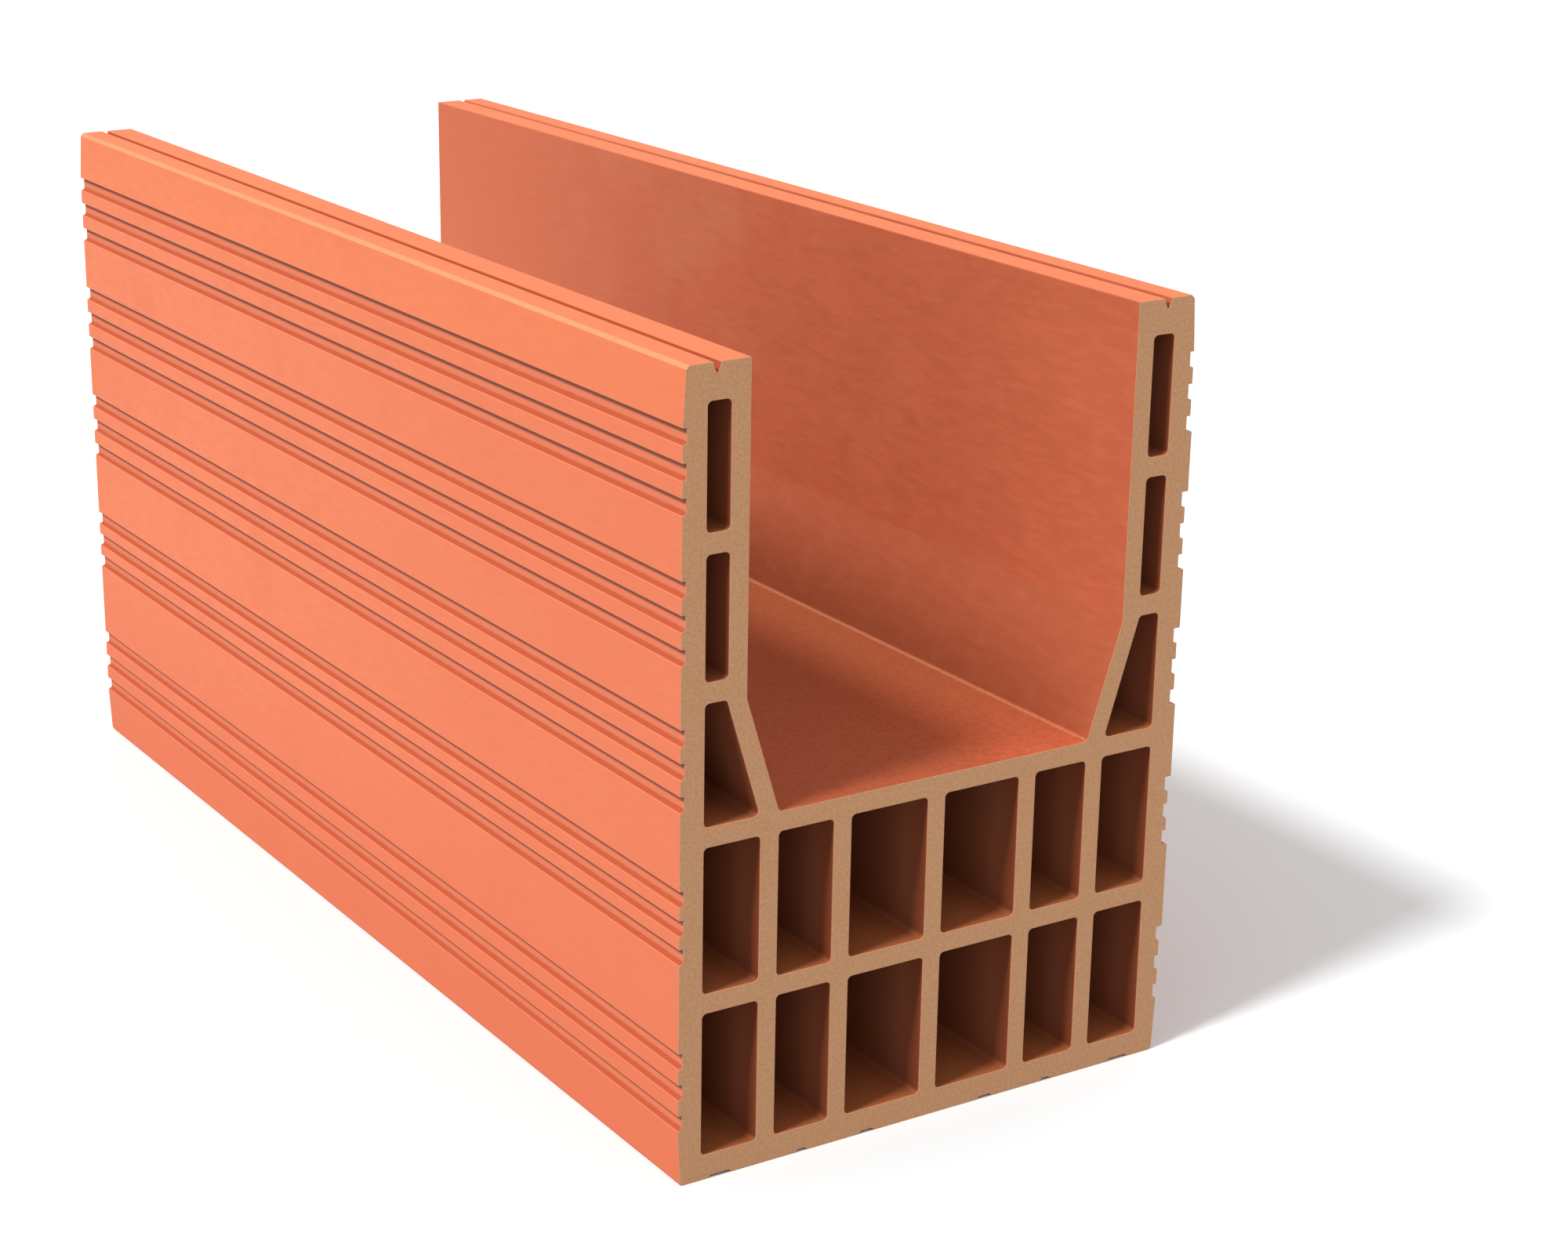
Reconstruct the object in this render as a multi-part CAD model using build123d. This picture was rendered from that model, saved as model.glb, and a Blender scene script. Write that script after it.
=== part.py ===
"""Lintel block: one extruded, fired clay piece with a U-shaped channel on top.

The section is drawn in the XZ plane (X across, Z up) and extruded along Y. Sizes are
in millimetres. The origin is in the middle of the underside. Section points are first
measured from the middle of the cell grid: the wide bands of the right face stand proud
of its narrow lands, so the grid's middle lies SHIFT beside the middle of the width.
"""
import os

from build123d import *

# Overall size
LENGTH = 497.0
HEIGHT = 274.0
HALF_LAND = 99.5  # half width at the narrow lands of both faces
LEFT_BAND = 0.0  # how far the wide bands stand out of the lands
RIGHT_BAND = 1.0
SHIFT = (LEFT_BAND - RIGHT_BAND) / 2

# Walls and webs
WEB = 7.0
BOTTOM_SHELL = 9.0
TOP_SHELL = 12.0
CELL_RADIUS = 1.7

# Channel
CHANNEL_HALF = 75.0
CHANNEL_FLOOR = 124.0
SPLAY_TOP = 164.4
SPLAY_FOOT_HALF = 62.2
FLOOR_RADIUS = 1.6

# Cells of the base, in two rows under the channel floor
OUTER_SIDE = 90.55  # outer side of the outermost cells
MIDDLE_COLUMN = 30.4
NARROW_COLUMN = 21.3
BASE_ROW = (CHANNEL_FLOOR - BOTTOM_SHELL - 2 * WEB) / 2

# Cells of the legs, over the haunch cell behind each splayed face
LEG_COLUMN = 8.55
LEG_ROW = (HEIGHT - TOP_SHELL - CHANNEL_FLOOR - 2 * WEB) / 3
HAUNCH_TOP_INNER = 82.5
HAUNCH_FOOT_INNER = 69.65

# Key grooves of the long faces: each group is its first groove's height and its pitch
GROOVE_GROUPS = [(19.9, 11.1), (78.6, 10.0), (130.6, 11.1), (179.1, 11.0), (227.3, 11.0)]
GROOVES_PER_GROUP = 3
GROOVE_HEIGHT = 5.4
GROOVE_DEPTH = 1.5
GROOVE_SLOPE = 0.6  # the lower wall of a groove rises by this towards its floor

# The faces lean in towards the corners, beyond the first and the last groove
FOOT_HALF = 98.6
FOOT_RADIUS = 1.4
HEAD_HALF = 98.4
HEAD_CHAMFER = 1.25

# V notch in the top of each leg
NOTCH_X = 87.25
NOTCH_MOUTH = 1.3  # half widths
NOTCH_WAIST = 1.0
NOTCH_WAIST_DEPTH = 1.8
NOTCH_DEPTH = 3.6

# Shallow recesses along the underside, from inner to outer edge
RECESSES = [(21.4, 28.1), (48.7, 53.6), (78.6, 87.8)]
RECESS_DEPTH = 0.95
RECESS_BEVEL = 1.2


def groove(low, below, above):
    """Outline of one groove, from the face below it to the face above it."""
    floor = HALF_LAND - GROOVE_DEPTH
    high = low + GROOVE_HEIGHT
    return [(below, low), (floor, low + GROOVE_SLOPE), (floor, high), (above, high)]


def long_face(band):
    """Outline of one long face from the bottom corner up to the top corner."""
    points = [(FOOT_HALF, 0.0)]
    for start, pitch in GROOVE_GROUPS:
        for i in range(GROOVES_PER_GROUP):
            first_of_all = start == GROOVE_GROUPS[0][0] and i == 0
            last_of_all = start == GROOVE_GROUPS[-1][0] and i == GROOVES_PER_GROUP - 1
            below = HALF_LAND + (band if i == 0 and not first_of_all else 0.0)
            above = HALF_LAND + (band if i == GROOVES_PER_GROUP - 1 and not last_of_all else 0.0)
            points += groove(start + i * pitch, below, above)
    return points + [(HEAD_HALF, HEIGHT)]


def leg_top():
    """Top of the right leg from its outer corner, over the notch, down to the channel floor."""
    return [
        (NOTCH_X + NOTCH_MOUTH, HEIGHT),
        (NOTCH_X + NOTCH_WAIST, HEIGHT - NOTCH_WAIST_DEPTH),
        (NOTCH_X, HEIGHT - NOTCH_DEPTH),
        (NOTCH_X - NOTCH_WAIST, HEIGHT - NOTCH_WAIST_DEPTH),
        (NOTCH_X - NOTCH_MOUTH, HEIGHT),
        (CHANNEL_HALF, HEIGHT),
        (CHANNEL_HALF, SPLAY_TOP),
        (SPLAY_FOOT_HALF, CHANNEL_FLOOR),
    ]


def underside():
    """Underside from the middle out to the right corner."""
    points = []
    for inner, outer in RECESSES:
        points += [
            (inner, 0.0),
            (inner + RECESS_BEVEL, RECESS_DEPTH),
            (outer - RECESS_BEVEL, RECESS_DEPTH),
            (outer, 0.0),
        ]
    return points


def mirrored(points):
    return [(-x, z) for x, z in reversed(points)]


def rectangle(left, low, width, height):
    return [(left, low), (left + width, low), (left + width, low + height), (left, low + height)]


def right_cells():
    """The cells of the right half of the section."""
    middle = WEB / 2
    inner = middle + MIDDLE_COLUMN + WEB
    outer = OUTER_SIDE - NARROW_COLUMN
    columns = [(middle, MIDDLE_COLUMN), (inner, NARROW_COLUMN), (outer, NARROW_COLUMN)]
    cells = []
    for row in range(2):
        low = BOTTOM_SHELL + row * (BASE_ROW + WEB)
        cells += [rectangle(left, low, width, BASE_ROW) for left, width in columns]
    for row in (1, 2):
        low = CHANNEL_FLOOR + row * (LEG_ROW + WEB)
        cells.append(rectangle(OUTER_SIDE - LEG_COLUMN, low, LEG_COLUMN, LEG_ROW))
    haunch_top = CHANNEL_FLOOR + LEG_ROW
    cells.append([
        (HAUNCH_FOOT_INNER, CHANNEL_FLOOR),
        (OUTER_SIDE, CHANNEL_FLOOR),
        (OUTER_SIDE, haunch_top),
        (HAUNCH_TOP_INNER, haunch_top),
    ])
    return cells


def face_of(points):
    """Flat face through section points, moved to the middle of the overall width."""
    return make_face(Polyline(*[(x + SHIFT, z) for x, z in points], close=True))


def at(face, half_widths, z):
    """The corners of a face that lie at one height and at given distances from the grid's middle."""
    return [
        v for v in face.vertices()
        if abs(v.Y - z) < 0.01 and any(abs(abs(v.X - SHIFT) - half) < 0.01 for half in half_widths)
    ]


def section():
    right = underside() + long_face(RIGHT_BAND) + leg_top()
    left = underside() + long_face(LEFT_BAND) + leg_top()
    face = face_of(right + mirrored(left))
    face = fillet(at(face, [FOOT_HALF], 0.0), FOOT_RADIUS)
    face = chamfer(at(face, [HEAD_HALF], HEIGHT), HEAD_CHAMFER)
    face = fillet(at(face, [SPLAY_FOOT_HALF], CHANNEL_FLOOR), FLOOR_RADIUS)
    for cell in right_cells():
        for points in (cell, mirrored(cell)):
            hole = face_of(points)
            face -= fillet(hole.vertices(), CELL_RADIUS)
    return face


os.makedirs("parts", exist_ok=True)
lintel_block = extrude(Plane.XZ * section(), LENGTH / 2, both=True)
lintel_block.label = "lintel_block"
export_step(lintel_block, "parts/lintel_block.step")
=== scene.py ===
"""The lintel block as fired: its extruded section, its orange skin and its pale wire-cut ends."""
from functools import partial
from math import ceil, cos, pi, radians, sin, tan

import bpy
from mathutils import Euler, Matrix, Vector
from mathutils.kdtree import KDTree


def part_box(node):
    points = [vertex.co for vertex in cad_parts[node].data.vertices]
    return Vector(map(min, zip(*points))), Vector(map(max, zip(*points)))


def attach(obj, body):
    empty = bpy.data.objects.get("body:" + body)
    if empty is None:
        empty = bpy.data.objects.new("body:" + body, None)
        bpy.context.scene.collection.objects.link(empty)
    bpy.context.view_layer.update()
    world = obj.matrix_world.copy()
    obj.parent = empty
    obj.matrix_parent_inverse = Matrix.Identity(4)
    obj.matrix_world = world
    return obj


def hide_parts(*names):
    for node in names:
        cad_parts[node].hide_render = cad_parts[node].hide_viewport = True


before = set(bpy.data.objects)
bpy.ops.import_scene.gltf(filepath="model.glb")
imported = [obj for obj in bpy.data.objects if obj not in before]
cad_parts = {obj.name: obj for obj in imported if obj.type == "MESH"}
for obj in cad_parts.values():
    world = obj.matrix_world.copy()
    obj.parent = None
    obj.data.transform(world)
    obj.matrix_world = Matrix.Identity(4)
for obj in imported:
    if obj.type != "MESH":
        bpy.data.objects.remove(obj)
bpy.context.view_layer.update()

MM = 0.001

bl_info = {
    "name": "Fired Clay Lintel Block",
    "version": (1, 0, 0),
    "blender": (4, 5, 0),
    "location": "View3D > Sidebar > Lintel Block",
    "description": "Models a hollow clay lintel block with its fired skin and wire-cut ends",
    "category": "Add Mesh",
}

# The block's own box, from the frame. The wide bands of the right face stand RIGHT_BAND
# proud of its narrow lands, so the middle of the cells lies SHIFT beside the middle.
BLOCK_LOW, BLOCK_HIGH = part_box("lintel_block")
WIDTH = BLOCK_HIGH[0] - BLOCK_LOW[0]
LENGTH = BLOCK_HIGH[1] - BLOCK_LOW[1]
HEIGHT = BLOCK_HIGH[2] - BLOCK_LOW[2]
RIGHT_BAND = 1.0 * MM
SHIFT = -RIGHT_BAND / 2
HALF_LAND = (WIDTH - RIGHT_BAND) / 2

# Channel and cells
CHANNEL_HALF = 75.0 * MM
CHANNEL_FLOOR = 124.0 * MM
SPLAY_TOP = 164.4 * MM
SPLAY_FOOT_HALF = 62.2 * MM
OUTER_SIDE = 90.55 * MM
MIDDLE_COLUMN = 30.4 * MM
NARROW_COLUMN = 21.3 * MM
LEG_COLUMN = 8.55 * MM
HAUNCH_TOP_INNER = 82.5 * MM
HAUNCH_FOOT_INNER = 69.65 * MM

# Key grooves: each group is its first groove's height and its pitch
GROOVE_GROUPS = [(19.9, 11.1), (78.6, 10.0), (130.6, 11.1), (179.1, 11.0), (227.3, 11.0)]
GROOVES_PER_GROUP = 3
GROOVE_HEIGHT = 5.4 * MM
GROOVE_DEPTH = 1.5 * MM
GROOVE_SLOPE = 0.6 * MM
FOOT_HALF = 98.6 * MM
HEAD_HALF = 98.4 * MM

# Notch in the top of each leg, and recesses along the underside
NOTCH_X = 87.25 * MM
NOTCH_MOUTH = 1.3 * MM
NOTCH_WAIST = 1.0 * MM
NOTCH_WAIST_DEPTH = 1.8 * MM
NOTCH_DEPTH = 3.6 * MM
RECESSES = [(21.4, 28.1), (48.7, 53.6), (78.6, 87.8)]
RECESS_DEPTH = 0.95 * MM
RECESS_BEVEL = 1.2 * MM

# Roundings along the length: the die's own corners, and the soft edges it leaves
FOOT_RADIUS = 1.4 * MM
HEAD_CHAMFER = 1.25 * MM
HEAD_EASE = 0.12 * MM
FLOOR_RADIUS = 1.6 * MM
BREAK_RADIUS = 6.0 * MM
EDGE_RADIUS = 0.35 * MM
LIP_RADIUS = 0.5 * MM
HOLLOW_RADIUS = 0.5 * MM
ARC_STEP = radians(15)

# Finishes, in the order of the block's material slots
SKIN, HIGHLIT_CHAMFER, GROOVE, CHANNEL, BED, CELL, CUT = range(7)

# Marks in the clay at about their real size: smudges and clouds from the kiln, dimples where
# the wet clay let go of the core, and marks that the steel dragged along it
SMUDGE = 40.0 * MM
CLOUD = 45.0 * MM
DRIFT = 60.0 * MM
BLOOM = 30.0 * MM
# Size of the patches in the painted highlight along the top chamfers
HIGHLIGHT_PATCH = 6.0 * MM
DIMPLE = 5.0 * MM
STREAK = 2.8 * MM
DRAG_MARK = 2.5 * MM

# Real pores and sand grains are 0.2 to 0.5 mm across, too fine to show in the render, so
# these are drawn as coarse as they need to show
PORE = 1.2 * MM
CELL_PORE = 1.5 * MM
BED_GRAIN = 1.6 * MM
CUT_GRAIN = 1.1 * MM

# How far behind the middle the channel's sides are palest
BLOOM_PLACE = 45.0 * MM

# How high over the channel's floor the painted highlight along its corners is brightest
CORNER_HIGHLIGHT_HEIGHT = 0.42 * MM

# Specular level of fired clay: open pores leave it less gloss than a closed surface's 0.5
CLAY_GLOSS = 0.3

# Edges that turn by less than this are shaded smooth
SMOOTH_TURN = radians(40)

# Photograph's camera, and the shift that its off-centre crop needs; sensor and lens are in mm
CAMERA_PLACE = (-0.56378, -0.99761, 0.48590)
CAMERA_YAW = radians(-30.492)
CAMERA_PITCH = radians(18.126)
CAMERA_SENSOR = 36.0
CAMERA_LENS = 69.73
CAMERA_SHIFT = (0.1063, -0.0096)

# Side of the floor, and how far it lies under the block, so that no two faces share a plane
FLOOR_SIZE = 12.0
FLOOR_GAP = 0.02 * MM

# Direction in which the key light travels, from the block's shadow on the floor, how wide
# the light looks from there, and where its object stands, which doesn't change a sun's light
KEY_DIRECTION = (0.591, 0.088, -0.802)
KEY_ANGLE = radians(8.3)
KEY_PLACE = (-1.5, -0.3, 2.0)


def linear(hex_colour):
    """An sRGB hex colour as linear red, green and blue."""
    channels = [int(hex_colour[i:i + 2], 16) / 255 for i in (0, 2, 4)]
    return [c / 12.92 if c <= 0.04045 else ((c + 0.055) / 1.055) ** 2.4 for c in channels]


class BlockSizes(bpy.types.PropertyGroup):
    web: bpy.props.FloatProperty(
        name="Web", description="Thickness of the webs between cells",
        default=7.0 * MM, unit="LENGTH")
    bottom_shell: bpy.props.FloatProperty(
        name="Bottom shell", description="Clay under the lower row of cells",
        default=9.0 * MM, unit="LENGTH")
    top_shell: bpy.props.FloatProperty(
        name="Top shell", description="Clay over the upper leg cells",
        default=12.0 * MM, unit="LENGTH")
    cell_radius: bpy.props.FloatProperty(
        name="Cell radius", description="Radius of the cells' corners",
        default=1.7 * MM, unit="LENGTH")
    arris: bpy.props.FloatProperty(
        name="Arris", description="Softening of the cut ends' edges",
        default=0.22 * MM, unit="LENGTH")


def colour_setting(name, description, hex_colour):
    return bpy.props.FloatVectorProperty(
        name=name, description=description, subtype="COLOR", default=linear(hex_colour))


class ClayColours(bpy.types.PropertyGroup):
    skin: colour_setting("Skin", "Extruded outer skin", "F08660")
    # A deeper shade of the skin, also used as painted light at the channel's open ends and at the
    # cells' rims
    skin_deep_and_painted_light: colour_setting("Deep skin", "Where the skin fired a shade deeper", "E17551")
    crown: colour_setting("Crown", "Yellower skin of the legs' tops", "EC8250")
    # Painted highlight along the top chamfers
    chamfer_highlight: colour_setting("Rubbed arris", "Clay rubbed pale along an edge", "F09669")
    groove: colour_setting("Groove", "Floor of a key groove", "E47E5B")
    # Painted shade on the grooves' lower walls, in the recesses and in the notches; the channel's
    # upper walls also take a little of this colour
    groove_foot: colour_setting("Groove foot", "Lower wall of a key groove", "BE5936")
    # Painted shadow under the grooves' upper lips
    groove_lip_shadow: colour_setting("Groove head", "Dust and shade under a groove's upper lip", "8D5A4A")
    # Darker than the skin by painted shade
    channel: colour_setting("Channel", "Upright walls of the channel", "C56644")
    channel_pale: colour_setting("Pale channel", "Paler end of the channel", "E3825E")
    # Painted shade down the splay, also used for dark grains and streaks in the channel
    splay_shade_and_grain: colour_setting("Splay foot", "Foot of the splayed faces", "863F20")
    # The channel's floor where it is lit
    bed: colour_setting("Bed", "Floor of the channel at its open ends", "CE623E")
    # Painted shade of the channel's floor, further in and along its left side
    bed_shaded: colour_setting("Brown bed", "Floor of the channel further in", "A55632")
    # The cells' walls, darkened as painted shade
    cell: colour_setting("Cell", "Walls inside the cells", "9F5D3D")
    # Painted shade near the cells' mouths
    cell_mouth_shade: colour_setting("Cell mouth", "Walls of the cells near their mouths", "7D3A1B")
    # Painted light on the cells' floors, which face up
    cell_floor_light: colour_setting("Cell dust", "Dust settled on the cells' floors", "AB6134")
    cut: colour_setting("Cut end", "Wire-cut face", "D29E77")
    cut_grain: colour_setting("Cut end grain", "Darker grains of the wire-cut face", "C9956C")


class StageSettings(bpy.types.PropertyGroup):
    dome: bpy.props.FloatProperty(
        name="Dome", description="Strength of the white surroundings",
        default=0.68, min=0.0)
    key: bpy.props.FloatProperty(
        name="Key", description="Strength of the soft key light",
        default=2.2, min=0.0)
    floor: bpy.props.FloatVectorProperty(
        name="Floor", description="The floor as it lights the block",
        subtype="COLOR", default=(0.56, 0.56, 0.56))
    backdrop: bpy.props.FloatVectorProperty(
        name="Backdrop", description="The floor as the camera sees it",
        subtype="COLOR", default=(0.935, 0.967, 0.977))


def node(tree, kind, inputs=None, **settings):
    """Adds a node with its settings. Each input is linked to a node or socket, or set to a value."""
    made = tree.nodes.new(kind)
    for name, value in settings.items():
        setattr(made, name, value)
    for name, value in (inputs or {}).items():
        socket = made.inputs[name]
        if isinstance(value, bpy.types.Node):
            value = value.outputs[0]
        if isinstance(value, bpy.types.NodeSocket):
            tree.links.new(value, socket)
        else:
            socket.default_value = (*value, 1.0) if socket.type == "RGBA" else value
    return made


class Corner:
    """A corner of the section: its place, its rounding, and the finish of the run after it.

    The rounding has that finish too, unless it is given its own.
    """

    def __init__(self, x, z, radius=0.0, finish=SKIN, arc_finish=None):
        self.place = Vector((x, z))
        self.radius = radius
        self.finish = finish
        self.arc_finish = finish if arc_finish is None else arc_finish


def rounded(corners):
    """The points of a loop through the corners, and the finish of the run after each point."""
    points = []
    finishes = []
    for i, corner in enumerate(corners):
        here = corner.place
        back = (corners[i - 1].place - here).normalized()
        ahead = (corners[(i + 1) % len(corners)].place - here).normalized()
        turn = pi - back.angle(ahead)
        steps = ceil(turn / ARC_STEP) if corner.radius else 0
        if steps:
            centre = here + (back + ahead).normalized() * corner.radius / cos(turn / 2)
            spoke = here + back * corner.radius * tan(turn / 2) - centre
            way = -1 if back.cross(ahead) > 0 else 1
            for k in range(steps + 1):
                points.append(centre + Matrix.Rotation(way * turn * k / steps, 2) @ spoke)
        else:
            points.append(here)
        finishes += [corner.arc_finish] * steps + [corner.finish]
    return points, finishes


def mirrored(corners):
    """The corners on the other side of the middle, in the order that goes on round the loop."""
    flipped = []
    for i, corner in enumerate(corners):
        before = corners[i - 1].finish
        x, z = corner.place
        flipped.append(Corner(-x, z, corner.radius, before, corner.arc_finish))
    return flipped[::-1]


def underside():
    """Corners from the middle of the underside out to the right."""
    corners = []
    for inner, outer in RECESSES:
        a, b = inner * MM, outer * MM
        corners += [
            Corner(a, 0.0, EDGE_RADIUS, GROOVE),
            Corner(a + RECESS_BEVEL, RECESS_DEPTH, EDGE_RADIUS, GROOVE),
            Corner(b - RECESS_BEVEL, RECESS_DEPTH, EDGE_RADIUS, GROOVE),
            Corner(b, 0.0, EDGE_RADIUS),
        ]
    return corners


def groove_lows():
    """Heights of the grooves' lower lips, from the foot up."""
    return [
        (start + i * pitch) * MM
        for start, pitch in GROOVE_GROUPS for i in range(GROOVES_PER_GROUP)
    ]


def long_face(band):
    """Corners of a grooved long face from its foot up to its head."""
    corners = [Corner(FOOT_HALF, 0.0, FOOT_RADIUS)]
    floor = HALF_LAND - GROOVE_DEPTH
    lows = groove_lows()
    for i, low in enumerate(lows):
        opens_group = i % GROOVES_PER_GROUP == 0 and i > 0
        ends_group = i % GROOVES_PER_GROUP == GROOVES_PER_GROUP - 1 and i < len(lows) - 1
        high = low + GROOVE_HEIGHT
        corners += [
            Corner(HALF_LAND + (band if opens_group else 0.0), low, LIP_RADIUS, GROOVE, SKIN),
            Corner(floor, low + GROOVE_SLOPE, HOLLOW_RADIUS, GROOVE),
            Corner(floor, high, 0.0, GROOVE),
            Corner(HALF_LAND + (band if ends_group else 0.0), high, EDGE_RADIUS),
        ]
    return corners + [
        # The chamfer along the head takes the painted highlight
        Corner(HEAD_HALF, HEIGHT - HEAD_CHAMFER, HEAD_EASE, HIGHLIT_CHAMFER),
        Corner(HEAD_HALF - HEAD_CHAMFER, HEIGHT, HEAD_EASE),
    ]


def leg_top():
    """Corners over the right leg, from its head across the notch down to the channel floor."""
    return [
        # The notch's walls take the darker channel, cell and groove colours as painted shade in the
        # narrow notch
        Corner(NOTCH_X + NOTCH_MOUTH, HEIGHT, EDGE_RADIUS, CHANNEL),
        Corner(NOTCH_X + NOTCH_WAIST, HEIGHT - NOTCH_WAIST_DEPTH, 0.0, CELL),
        Corner(NOTCH_X, HEIGHT - NOTCH_DEPTH, 0.0, GROOVE),
        Corner(NOTCH_X - NOTCH_WAIST, HEIGHT - NOTCH_WAIST_DEPTH, 0.0, GROOVE),
        Corner(NOTCH_X - NOTCH_MOUTH, HEIGHT, EDGE_RADIUS),
        Corner(CHANNEL_HALF, HEIGHT, EDGE_RADIUS, CHANNEL),
        Corner(CHANNEL_HALF, SPLAY_TOP, BREAK_RADIUS, CHANNEL),
        Corner(SPLAY_FOOT_HALF, CHANNEL_FLOOR, FLOOR_RADIUS, BED),
    ]


def cell(places, radius):
    return [Corner(x, z, radius, CELL) for x, z in places]


def rectangle(left, low, width, height, radius):
    right, high = left + width, low + height
    return cell([(left, low), (right, low), (right, high), (left, high)], radius)


def right_cells(sizes):
    """Corners of each cell in the right half of the section."""
    base_row = (CHANNEL_FLOOR - sizes.bottom_shell - 2 * sizes.web) / 2
    leg_row = (HEIGHT - sizes.top_shell - CHANNEL_FLOOR - 2 * sizes.web) / 3
    radius = sizes.cell_radius
    middle = sizes.web / 2
    inner = middle + MIDDLE_COLUMN + sizes.web
    outer = OUTER_SIDE - NARROW_COLUMN
    cells = []
    for row in range(2):
        low = sizes.bottom_shell + row * (base_row + sizes.web)
        cells += [
            rectangle(middle, low, MIDDLE_COLUMN, base_row, radius),
            rectangle(inner, low, NARROW_COLUMN, base_row, radius),
            rectangle(outer, low, NARROW_COLUMN, base_row, radius),
        ]
    for row in (1, 2):
        low = CHANNEL_FLOOR + row * (leg_row + sizes.web)
        cells.append(rectangle(OUTER_SIDE - LEG_COLUMN, low, LEG_COLUMN, leg_row, radius))
    haunch_top = CHANNEL_FLOOR + leg_row
    cells.append(cell([
        (HAUNCH_FOOT_INNER, CHANNEL_FLOOR),
        (OUTER_SIDE, CHANNEL_FLOOR),
        (OUTER_SIDE, haunch_top),
        (HAUNCH_TOP_INNER, haunch_top),
    ], radius))
    return cells


def section_loops(sizes):
    """The closed loops of the section, as points and finishes: the outline first, then every cell."""
    right = underside() + long_face(RIGHT_BAND) + leg_top()
    left = mirrored(underside() + long_face(0.0) + leg_top())
    left[-1].finish = SKIN  # the run across the middle of the underside
    loops = [rounded(right + left)]
    for corners in right_cells(sizes):
        loops += [rounded(corners), rounded(mirrored(corners))]
    return loops


def finish_tree(loops):
    """A search tree of the middles of the section's runs, and the finish of each."""
    runs = []
    for points, finishes in loops:
        for i, finish in enumerate(finishes):
            middle = (points[i] + points[(i + 1) % len(points)]) / 2
            runs.append((Vector((middle.x + SHIFT, 0.0, middle.y)), finish))
    tree = KDTree(len(runs))
    for i, (middle, finish) in enumerate(runs):
        tree.insert(middle, i)
    tree.balance()
    return tree, [finish for middle, finish in runs]


def groove_rise(z):
    """How high a point lies over the lower lip of its groove; 0 outside the grooves."""
    slack = 0.1 * MM
    for low in groove_lows():
        if -slack < z - low < GROOVE_HEIGHT + slack:
            return z - low
    return 0.0


class Clay:
    """A clay finish in the making: where each point lies, and the steps that finishes share.

    Its depth is how far a point lies in from the nearer end.
    """

    def __init__(self, name, roughness):
        self.material = bpy.data.materials.new(name)
        self.material.use_nodes = True
        self.tree = self.material.node_tree
        self.add = partial(node, self.tree)
        self.shader = self.tree.nodes["Principled BSDF"]
        self.shader.inputs["Roughness"].default_value = roughness
        self.shader.inputs["Specular IOR Level"].default_value = CLAY_GLOSS
        self.place = self.add("ShaderNodeTexCoord").outputs["Object"]
        sides = self.add("ShaderNodeSeparateXYZ", {0: self.place}).outputs
        self.across, self.along, self.height = sides
        from_middle = self.add("ShaderNodeMath", {0: self.along}, operation="ABSOLUTE")
        self.depth = self.add("ShaderNodeMath", {0: LENGTH / 2, 1: from_middle}, operation="SUBTRACT")

    def patches(self, size, detail=3.0, stretch=(1.0, 1.0, 1.0)):
        """Soft patches about size across, from 0 to 1. A stretch under 1 draws them out that way."""
        place = self.add("ShaderNodeMapping", {"Vector": self.place, "Scale": stretch})
        return self.add("ShaderNodeTexNoise", {"Vector": place, "Scale": 1 / size, "Detail": detail})

    def coat(self, base, over, value, start, end, share=1.0):
        """A coat over the base: none where the value is start, rising softly to its share at end."""
        cover = self.add("ShaderNodeMapRange", {
            "Value": value, "From Min": start, "From Max": end, "To Max": share,
        }, interpolation_type="SMOOTHSTEP")
        return self.add("ShaderNodeMix", {0: cover, 6: base, 7: over}, data_type="RGBA").outputs[2]

    def done(self, colour, relief, depth):
        """The material, with its colour, and its relief as a bump of the given depth."""
        bump = self.add("ShaderNodeBump", {"Height": relief, "Strength": 1.0, "Distance": depth})
        self.tree.links.new(bump.outputs[0], self.shader.inputs["Normal"])
        self.tree.links.new(colour, self.shader.inputs["Base Color"])
        return self.material


def skin_finish(colours):
    """Terracotta pushed through a steel die and fired: an even matt orange.

    It is deeper towards the foot and the near end and yellower towards the top, with soft
    smudges and fine drag marks.
    """
    clay = Clay("terracotta_extruded_skin", 0.75)
    dragged = clay.patches(DRAG_MARK, 4.0, (1.0, 0.25, 1.0))
    colour = clay.coat(colours.skin, colours.skin_deep_and_painted_light, clay.height, 110 * MM, 0.0, 0.6)
    colour = clay.coat(colour, colours.skin_deep_and_painted_light, clay.along, 150 * MM, -250 * MM, 0.5)
    colour = clay.coat(colour, colours.crown, clay.height, HEIGHT - 45 * MM, HEIGHT + 20 * MM, 0.8)
    colour = clay.coat(colour, colours.skin_deep_and_painted_light, clay.patches(SMUDGE, 5.0), 0.45, 0.7, 0.22)
    colour = clay.coat(colour, colours.skin_deep_and_painted_light, dragged, 0.4, 0.65, 0.25)
    return clay.done(colour, clay.patches(PORE), 0.02 * MM)


def chamfer_highlight_finish(colours):
    """The chamfers of the same clay along the top, with a painted highlight that is weaker in
    patches.
    """
    clay = Clay("terracotta_chamfer_highlight", 0.75)
    colour = clay.coat(colours.chamfer_highlight, colours.skin, clay.patches(HIGHLIGHT_PATCH), 0.5, 0.8, 0.5)
    return clay.done(colour, clay.patches(PORE), 0.02 * MM)


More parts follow.
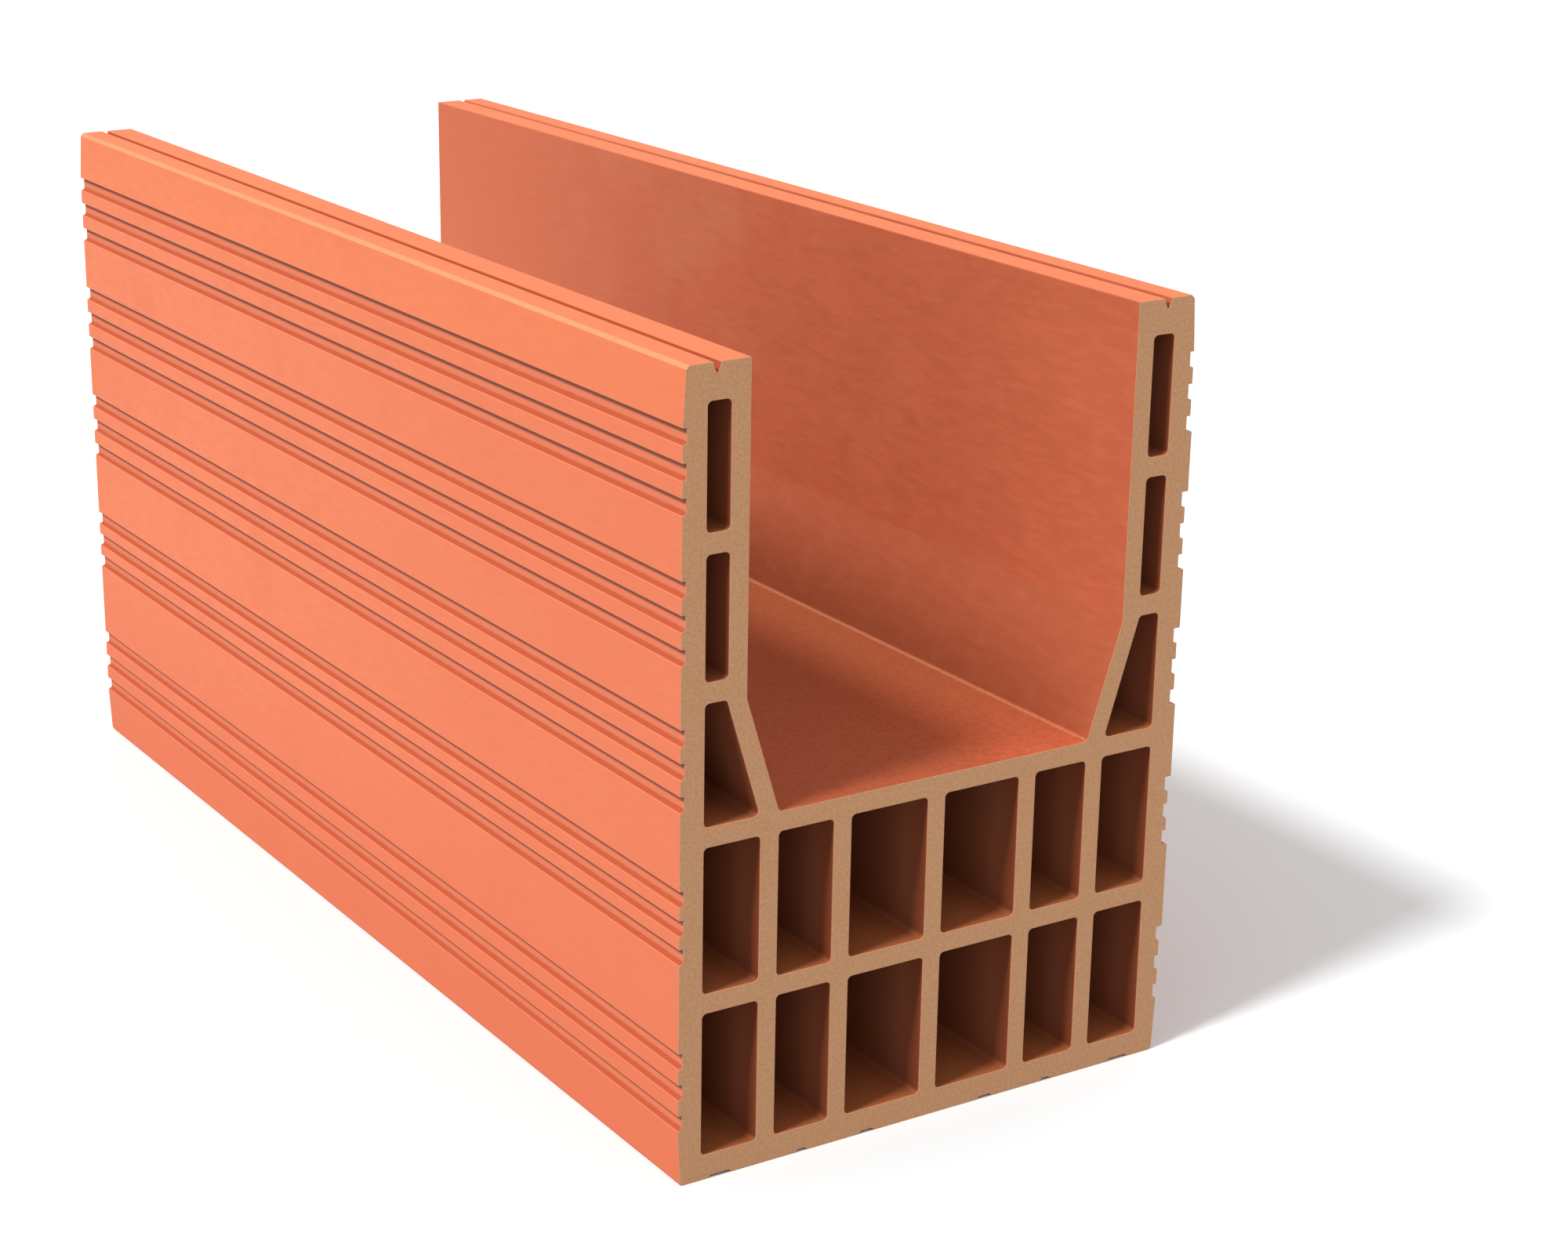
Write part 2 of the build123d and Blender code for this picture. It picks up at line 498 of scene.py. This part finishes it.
def groove_finish(colours):
    """Key grooves, scraped by the die: redder than the skin, with a painted shadow under the upper
    lip.

    A band of painted shade reaches unevenly up from the lower wall. In the recesses and on the
    notches' inner walls, which have no rise, its darker colour is all that shows.
    """
    clay = Clay("terracotta_key_groove", 0.8)
    rise = clay.add("ShaderNodeAttribute", attribute_name="groove_rise").outputs["Fac"]
    uneven = clay.add("ShaderNodeMath", {0: clay.patches(DRAG_MARK), 1: 0.6 * MM, 2: rise},
                      operation="MULTIPLY_ADD")
    # Painted shade, rising unevenly from the lower wall
    colour = clay.coat(colours.groove, colours.groove_foot, uneven, 2.2 * MM, 0.9 * MM)
    # Painted shadow of the upper lip on the groove's floor
    colour = clay.coat(colour, colours.groove_lip_shadow, rise, 3.1 * MM, 4.6 * MM)
    return clay.done(colour, clay.patches(PORE), 0.03 * MM)


def channel_finish(colours):
    """Channel sides, drawn past a steel core: redder than the skin, dimpled and streaked, and darker
    than the skin by painted shade.

    They are paler towards the far end and in a bloom behind the middle, brighter towards the open
    ends by painted light, and darker down the splay by painted shade, most where the channel is
    most shut in.
    """
    clay = Clay("terracotta_core_drawn", 0.7)
    drift = clay.add("ShaderNodeMath", {0: clay.patches(DRIFT), 1: 100 * MM, 2: clay.along},
                     operation="MULTIPLY_ADD")
    fall = clay.add("ShaderNodeMath", {0: SPLAY_TOP - 2 * MM, 1: clay.height}, operation="SUBTRACT")
    depth_shade = clay.add("ShaderNodeMath", {0: clay.depth, 1: 0.25}, operation="POWER")
    shade = clay.add("ShaderNodeMath", {0: fall, 1: depth_shade}, operation="MULTIPLY")
    full_shade = 40 * MM * (190 * MM) ** 0.25
    dimples = clay.patches(DIMPLE, 4.0, (1.0, 0.6, 1.0))
    streaks = clay.patches(STREAK, 5.0, (1.0, 0.22, 1.0))
    scored = clay.add("ShaderNodeMath", {0: clay.along, 1: -0.7, 2: streaks},
                      operation="MULTIPLY_ADD")
    relief = clay.add("ShaderNodeMath", {0: dimples, 1: streaks}, operation="ADD")
    off_bloom = clay.add("ShaderNodeMath", {0: clay.along, 1: BLOOM_PLACE}, operation="SUBTRACT")
    off_bloom = clay.add("ShaderNodeMath", {0: off_bloom}, operation="ABSOLUTE")
    bloom = clay.add("ShaderNodeMath", {0: off_bloom, 1: -2.5, 2: clay.patches(BLOOM, 4.0)},
                     operation="MULTIPLY_ADD")
    colour = clay.coat(colours.channel, colours.channel_pale, drift, -60 * MM, 270 * MM)
    colour = clay.coat(colour, colours.channel_pale, clay.patches(CLOUD, 4.0), 0.45, 0.75, 0.25)
    colour = clay.coat(colour, colours.cut, bloom, 0.35, 0.6, 0.16)
    # Painted light: brighter and more orange towards the open ends, where light comes in
    colour = clay.coat(colour, colours.skin_deep_and_painted_light, clay.depth, 140 * MM, -10 * MM, 0.45)
    colour = clay.coat(colour, colours.groove_foot, clay.height, HEIGHT - 85 * MM, HEIGHT, 0.25)
    # The splay faces the light more than the wall does, so it is painted darker from its top down:
    # painted shade that evens out its brighter shading
    colour = clay.coat(
        colour, colours.splay_shade_and_grain, clay.height, SPLAY_TOP + 1 * MM, SPLAY_TOP - 1 * MM, 0.31)
    # Painted shade down the splay, deepest where the channel is most shut in
    colour = clay.coat(colour, colours.splay_shade_and_grain, shade, 0.0, full_shade)
    colour = clay.coat(colour, colours.splay_shade_and_grain, scored, 0.5, 0.75, 0.12)
    colour = clay.coat(colour, colours.cut, dimples, 0.45, 0.7, 0.04)
    return clay.done(colour, relief, 0.13 * MM)


def bed_finish(colours):
    """The channel's floor, dragged over the core: speckled, red at the open ends, brown further in
    as painted shade.

    Its left side is brown all along as the painted shadow of the left leg, and a painted highlight
    runs along its corners.
    """
    clay = Clay("terracotta_channel_bed", 0.75)
    depth_shade = clay.add("ShaderNodeMath", {0: clay.depth, 1: 0.35}, operation="POWER")
    left_leg_shadow = clay.add("ShaderNodeMapRange", {
        "Value": clay.across, "From Min": SPLAY_FOOT_HALF, "From Max": 0.0, "To Max": 0.335,
    }, interpolation_type="SMOOTHSTEP")
    brown = clay.add("ShaderNodeMath", {0: depth_shade, 1: left_leg_shadow}, operation="MAXIMUM")
    full_brown = (150 * MM) ** 0.35
    over_highlight = clay.add("ShaderNodeMath", {0: clay.height, 1: CHANNEL_FLOOR + CORNER_HIGHLIGHT_HEIGHT},
                         operation="SUBTRACT")
    off_highlight = clay.add("ShaderNodeMath", {0: over_highlight}, operation="ABSOLUTE")
    grains = clay.patches(BED_GRAIN, 2.0)
    # Painted shade: browner further in, and on the left side in the left leg's shadow
    colour = clay.coat(colours.bed, colours.bed_shaded, brown, 0.0, full_brown)
    colour = clay.coat(colour, colours.splay_shade_and_grain, grains, 0.45, 0.65, 0.3)
    # Painted highlight along the fillets at the corners, in the pale colour of the cut ends
    colour = clay.coat(colour, colours.cut, off_highlight, 0.4 * MM, 0.15 * MM, 0.24)
    return clay.done(colour, grains, 0.03 * MM)


def cell_finish(colours):
    """Cell walls, rough from the core: a dull brown, darkened as painted shade.

    Painted shade makes them deeper near the mouths, painted light makes them redder at the very
    rims, and painted light makes their floors, which face up, paler and more orange.
    """
    clay = Clay("terracotta_cell_wall", 0.85)
    normal = clay.add("ShaderNodeNewGeometry").outputs["Normal"]
    facing_up = clay.add("ShaderNodeSeparateXYZ", {0: normal}).outputs["Z"]
    # Painted shade near the mouths
    colour = clay.coat(colours.cell, colours.cell_mouth_shade, clay.depth, 14 * MM, 0.0, 0.85)
    # Painted light on the floors, which face up
    colour = clay.coat(colour, colours.cell_floor_light, facing_up, 0.3, 1.0, 0.8)
    # Painted light at the very rims
    colour = clay.coat(colour, colours.skin_deep_and_painted_light, clay.depth, 0.7 * MM, 0.2 * MM, 0.4)
    return clay.done(colour, clay.patches(CELL_PORE), 0.03 * MM)


def cut_finish(colours):
    """Ends cut by a wire before firing: dry, open and sandy, paler and browner than the skin."""
    clay = Clay("terracotta_wire_cut", 0.9)
    grains = clay.patches(CUT_GRAIN, 2.0)
    colour = clay.coat(colours.cut_grain, colours.cut, grains, 0.35, 0.65)
    return clay.done(colour, grains, 0.06 * MM)


def finishes(colours):
    """The block's materials, in the order of the finishes' numbers."""
    return [
        skin_finish(colours),
        chamfer_highlight_finish(colours),
        groove_finish(colours),
        channel_finish(colours),
        bed_finish(colours),
        cell_finish(colours),
        cut_finish(colours),
    ]


class LINTEL_OT_fired_block(bpy.types.Operator):
    """Model the block: its section filled, drawn out to its length and eased at its cut ends"""
    bl_idname = "lintel.fired_block"
    bl_label = "Fired Block"

    def execute(self, context):
        sizes = context.scene.lintel_sizes
        bpy.ops.object.select_all(action="DESELECT")
        loops = section_loops(sizes)
        rings = []
        for points, _ in loops:
            bpy.ops.mesh.primitive_circle_add(vertices=len(points), fill_type="NOTHING")
            ring = context.object
            for vertex, point in zip(ring.data.vertices, points):
                vertex.co = (point.x + SHIFT, -LENGTH / 2 + sizes.arris, point.y)
            rings.append(ring)
        for ring in rings:
            ring.select_set(True)
        context.view_layer.objects.active = rings[0]
        bpy.ops.object.join()
        block = context.object
        block.name = block.data.name = "fired_clay_block"
        bpy.ops.object.mode_set(mode="EDIT")
        bpy.ops.mesh.select_all(action="SELECT")
        bpy.ops.mesh.fill(use_beauty=True)
        run = LENGTH - 2 * sizes.arris
        bpy.ops.mesh.extrude_region_move(TRANSFORM_OT_translate={"value": (0.0, run, 0.0)})
        bpy.ops.mesh.select_all(action="SELECT")
        bpy.ops.mesh.normals_make_consistent(inside=False)
        bpy.ops.mesh.select_mode(type="FACE")
        bpy.ops.object.mode_set(mode="OBJECT")
        for face in block.data.polygons:
            face.select = abs(face.normal.y) > 0.5
        bpy.ops.object.mode_set(mode="EDIT")
        # A quarter round in three steps, on both ends at once
        for turn in (radians(30), radians(60), radians(90)):
            last = turn - radians(30)
            bpy.ops.mesh.inset(
                thickness=sizes.arris * (cos(last) - cos(turn)),
                depth=sizes.arris * (sin(turn) - sin(last)),
                use_boundary=True, use_even_offset=True)
        bpy.ops.object.mode_set(mode="OBJECT")
        self.give_finishes(block.data, loops, context.scene.lintel_colours)
        bpy.ops.object.shade_smooth_by_angle(angle=SMOOTH_TURN)
        bpy.ops.object.modifier_add(type="WEIGHTED_NORMAL")
        block.modifiers[-1].keep_sharp = True
        bpy.ops.object.modifier_apply(modifier=block.modifiers[-1].name)
        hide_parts("lintel_block")
        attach(block, "root")
        return {"FINISHED"}

    @staticmethod
    def give_finishes(mesh, loops, colours):
        """Gives each face the finish of the run beside it, and each point its rise in its groove."""
        for material in finishes(colours):
            mesh.materials.append(material)
        tree, run_finishes = finish_tree(loops)
        for face in mesh.polygons:
            beside = tree.find(Vector((face.center.x, 0.0, face.center.z)))[1]
            # The wire cut the ends, with the part of their arris that faces out with them
            face.material_index = CUT if abs(face.normal.y) > 0.5 else run_finishes[beside]
        rises = mesh.attributes.new("groove_rise", "FLOAT", "POINT")
        for rise, vertex in zip(rises.data, mesh.vertices):
            rise.value = groove_rise(vertex.co.z)


def background_rays(tree):
    """1 for rays that see the background, straight, in gloss or through glass; 0 for all others."""
    rays = node(tree, "ShaderNodeLightPath").outputs
    seen = rays["Is Camera Ray"]
    for name in ("Is Glossy Ray", "Is Transmission Ray"):
        seen = node(tree, "ShaderNodeMath", {0: seen, 1: rays[name]}, operation="MAXIMUM")
    return seen


class LINTEL_OT_stage(bpy.types.Operator):
    """Set the block on a plain white floor, with white surroundings, a soft key light and a camera"""
    bl_idname = "lintel.stage"
    bl_label = "Stage"

    def execute(self, context):
        stage = context.scene.lintel_stage
        bpy.ops.object.select_all(action="DESELECT")
        floor_height = BLOCK_LOW[2] - FLOOR_GAP
        bpy.ops.mesh.primitive_plane_add(size=FLOOR_SIZE, location=(0.0, 0.0, floor_height))
        floor = context.object
        floor.name = "floor"
        white = bpy.data.materials.new("floor_white")
        white.use_nodes = True
        tree = white.node_tree
        tree.nodes.clear()
        colour = node(tree, "ShaderNodeMix", {
            0: background_rays(tree), 6: stage.floor, 7: stage.backdrop,
        }, data_type="RGBA")
        matt = node(tree, "ShaderNodeBsdfDiffuse", {"Color": colour.outputs[2]})
        node(tree, "ShaderNodeOutputMaterial", {"Surface": matt})
        floor.data.materials.append(white)

        bpy.ops.object.light_add(type="SUN", location=KEY_PLACE)
        key = context.object
        key.name = "key"
        key.rotation_euler = Vector(KEY_DIRECTION).to_track_quat("-Z", "Y").to_euler()
        key.data.energy = stage.key
        key.data.angle = KEY_ANGLE

        world = bpy.data.worlds.new("white_surroundings")
        world.use_nodes = True
        tree = world.node_tree
        tree.nodes.clear()
        strength = node(tree, "ShaderNodeMix", {
            0: background_rays(tree), 2: stage.dome, 3: 1.0,
        }, data_type="FLOAT")
        light = node(tree, "ShaderNodeBackground", {"Color": (1.0, 1.0, 1.0), "Strength": strength})
        node(tree, "ShaderNodeOutputWorld", {"Surface": light})
        context.scene.world = world

        bpy.ops.object.camera_add(location=CAMERA_PLACE)
        camera = context.object
        camera.name = "camera"
        camera.rotation_euler = Euler((pi / 2 - CAMERA_PITCH, 0.0, CAMERA_YAW))
        camera.data.lens = CAMERA_LENS
        camera.data.sensor_width = CAMERA_SENSOR
        camera.data.shift_x, camera.data.shift_y = CAMERA_SHIFT
        context.scene.camera = camera
        context.scene.view_settings.view_transform = "Standard"
        return {"FINISHED"}


class LINTEL_PT_panel(bpy.types.Panel):
    """The block, its stage and their settings"""
    bl_label = "Lintel Block"
    bl_idname = "LINTEL_PT_panel"
    bl_space_type = "VIEW_3D"
    bl_region_type = "UI"
    bl_category = "Lintel Block"

    def draw(self, context):
        layout = self.layout
        for group_name, group in GROUPS.items():
            box = layout.box()
            for name in group.__annotations__:
                box.prop(getattr(context.scene, group_name), name)
        layout.operator(LINTEL_OT_fired_block.bl_idname)
        layout.operator(LINTEL_OT_stage.bl_idname)


GROUPS = {"lintel_sizes": BlockSizes, "lintel_colours": ClayColours, "lintel_stage": StageSettings}
CLASSES = (*GROUPS.values(), LINTEL_OT_fired_block, LINTEL_OT_stage, LINTEL_PT_panel)


def register():
    for cls in CLASSES:
        bpy.utils.register_class(cls)
    for name, group in GROUPS.items():
        setattr(bpy.types.Scene, name, bpy.props.PointerProperty(type=group))


def unregister():
    for name in GROUPS:
        delattr(bpy.types.Scene, name)
    for cls in reversed(CLASSES):
        bpy.utils.unregister_class(cls)


def main():
    register()
    bpy.ops.lintel.fired_block()
    bpy.ops.lintel.stage()


if __name__ == "__main__":
    main()
